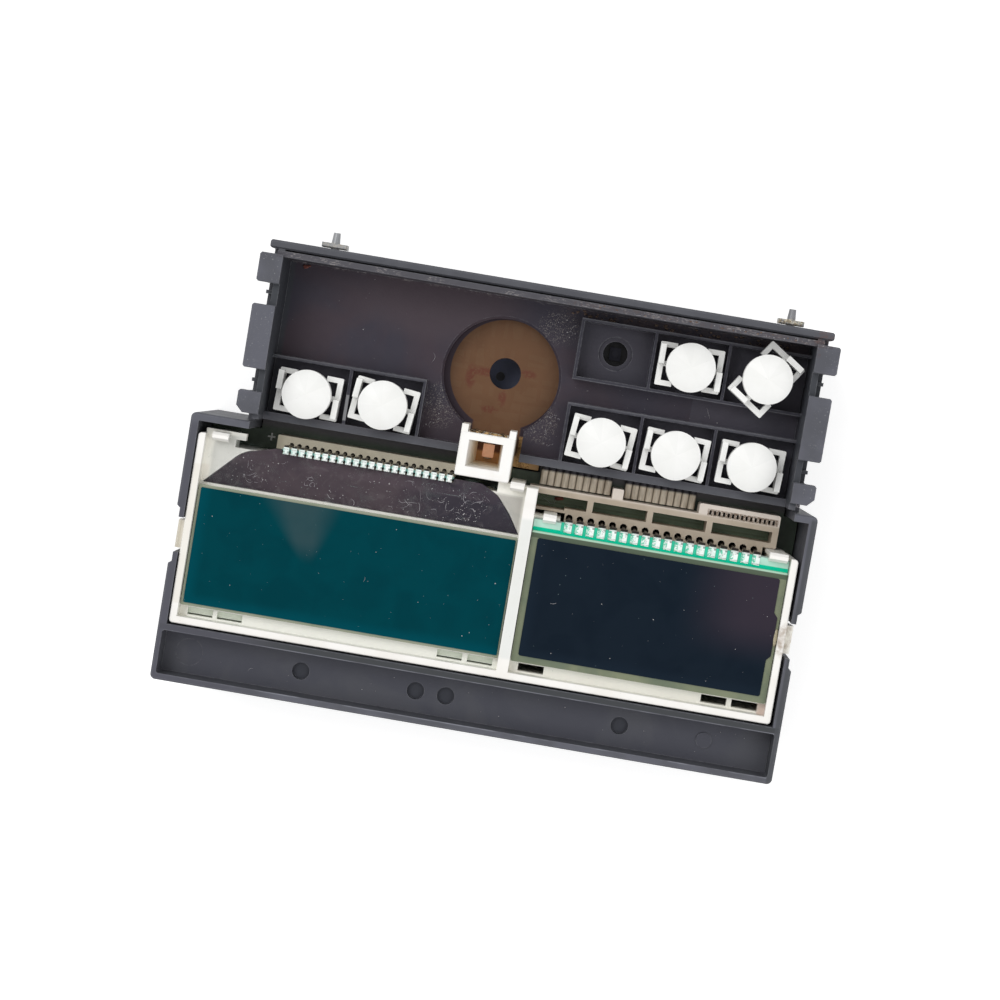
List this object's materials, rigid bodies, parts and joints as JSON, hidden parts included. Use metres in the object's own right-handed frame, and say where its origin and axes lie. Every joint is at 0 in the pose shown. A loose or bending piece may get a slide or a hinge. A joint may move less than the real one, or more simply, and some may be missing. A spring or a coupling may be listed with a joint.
{
  "type": "oven display module",
  "caption": "Black plastic display module of a built-in oven: two glass displays in a white carrier, a tray with round light guides and a round knob opening.",
  "frame": {"origin": "centre of the closed back, on its rear face", "axes": "+X across the width, +Y from the trim channel towards the top rail, +Z out of the display face"},
  "size_m": [0.1428, 0.1064, 0.032],
  "materials": {
    "housing_plastic": "moulded, dusty",
    "white_plastic": "moulded, slightly milky",
    "beige_plastic": "moulded, aged",
    "grey_plastic": "moulded",
    "green_board": "lacquered laminate",
    "brown_board": "bare paper laminate",
    "milky_sheet": "satin sheet",
    "display_glass": "polished",
    "teal_film": "glossy film",
    "dark_film": "glossy film",
    "tinned_metal": "tinned",
    "led_body": "moulded"
  },
  "bodies": {
    "root": {"housing": "housing_plastic", "rear_cover": "housing_plastic", "display_board": "green_board", "knob_board": "brown_board", "lcd_carrier": "white_plastic", "left_diffuser": "milky_sheet", "right_diffuser": "milky_sheet", "left_light_shield": "dark_film", "left_lcd_rear_glass": "display_glass", "left_lcd_front_glass": "display_glass", "left_lcd_film": "teal_film", "right_lcd_rear_glass": "display_glass", "right_lcd_front_glass": "display_glass", "right_lcd_film": "dark_film", "left_pins": "tinned_metal", "right_pins": "tinned_metal", "left_pin_strip": "beige_plastic", "right_pin_frame": "beige_plastic", "jumper_ribbon_left": "beige_plastic", "jumper_ribbon_right": "beige_plastic", "light_box": "white_plastic", "light_box_led": "led_body", "light_guide_upper_middle": "white_plastic", "light_guide_upper_right": "white_plastic", "light_guide_left_outer": "white_plastic", "light_guide_left_inner": "white_plastic", "light_guide_lower_left": "white_plastic", "light_guide_lower_middle": "white_plastic", "light_guide_lower_right": "white_plastic", "top_peg_left": "grey_plastic", "top_peg_right": "grey_plastic", "wiring_socket": "beige_plastic", "wiring_socket_pins": "tinned_metal", "cell_led_1": "led_body", "cell_led_2": "led_body", "cell_led_3": "led_body", "cell_led_4": "led_body", "cell_led_5": "led_body", "cell_led_6": "led_body", "cell_led_7": "led_body", "cell_led_8": "led_body"}
  },
  "joints": []
}
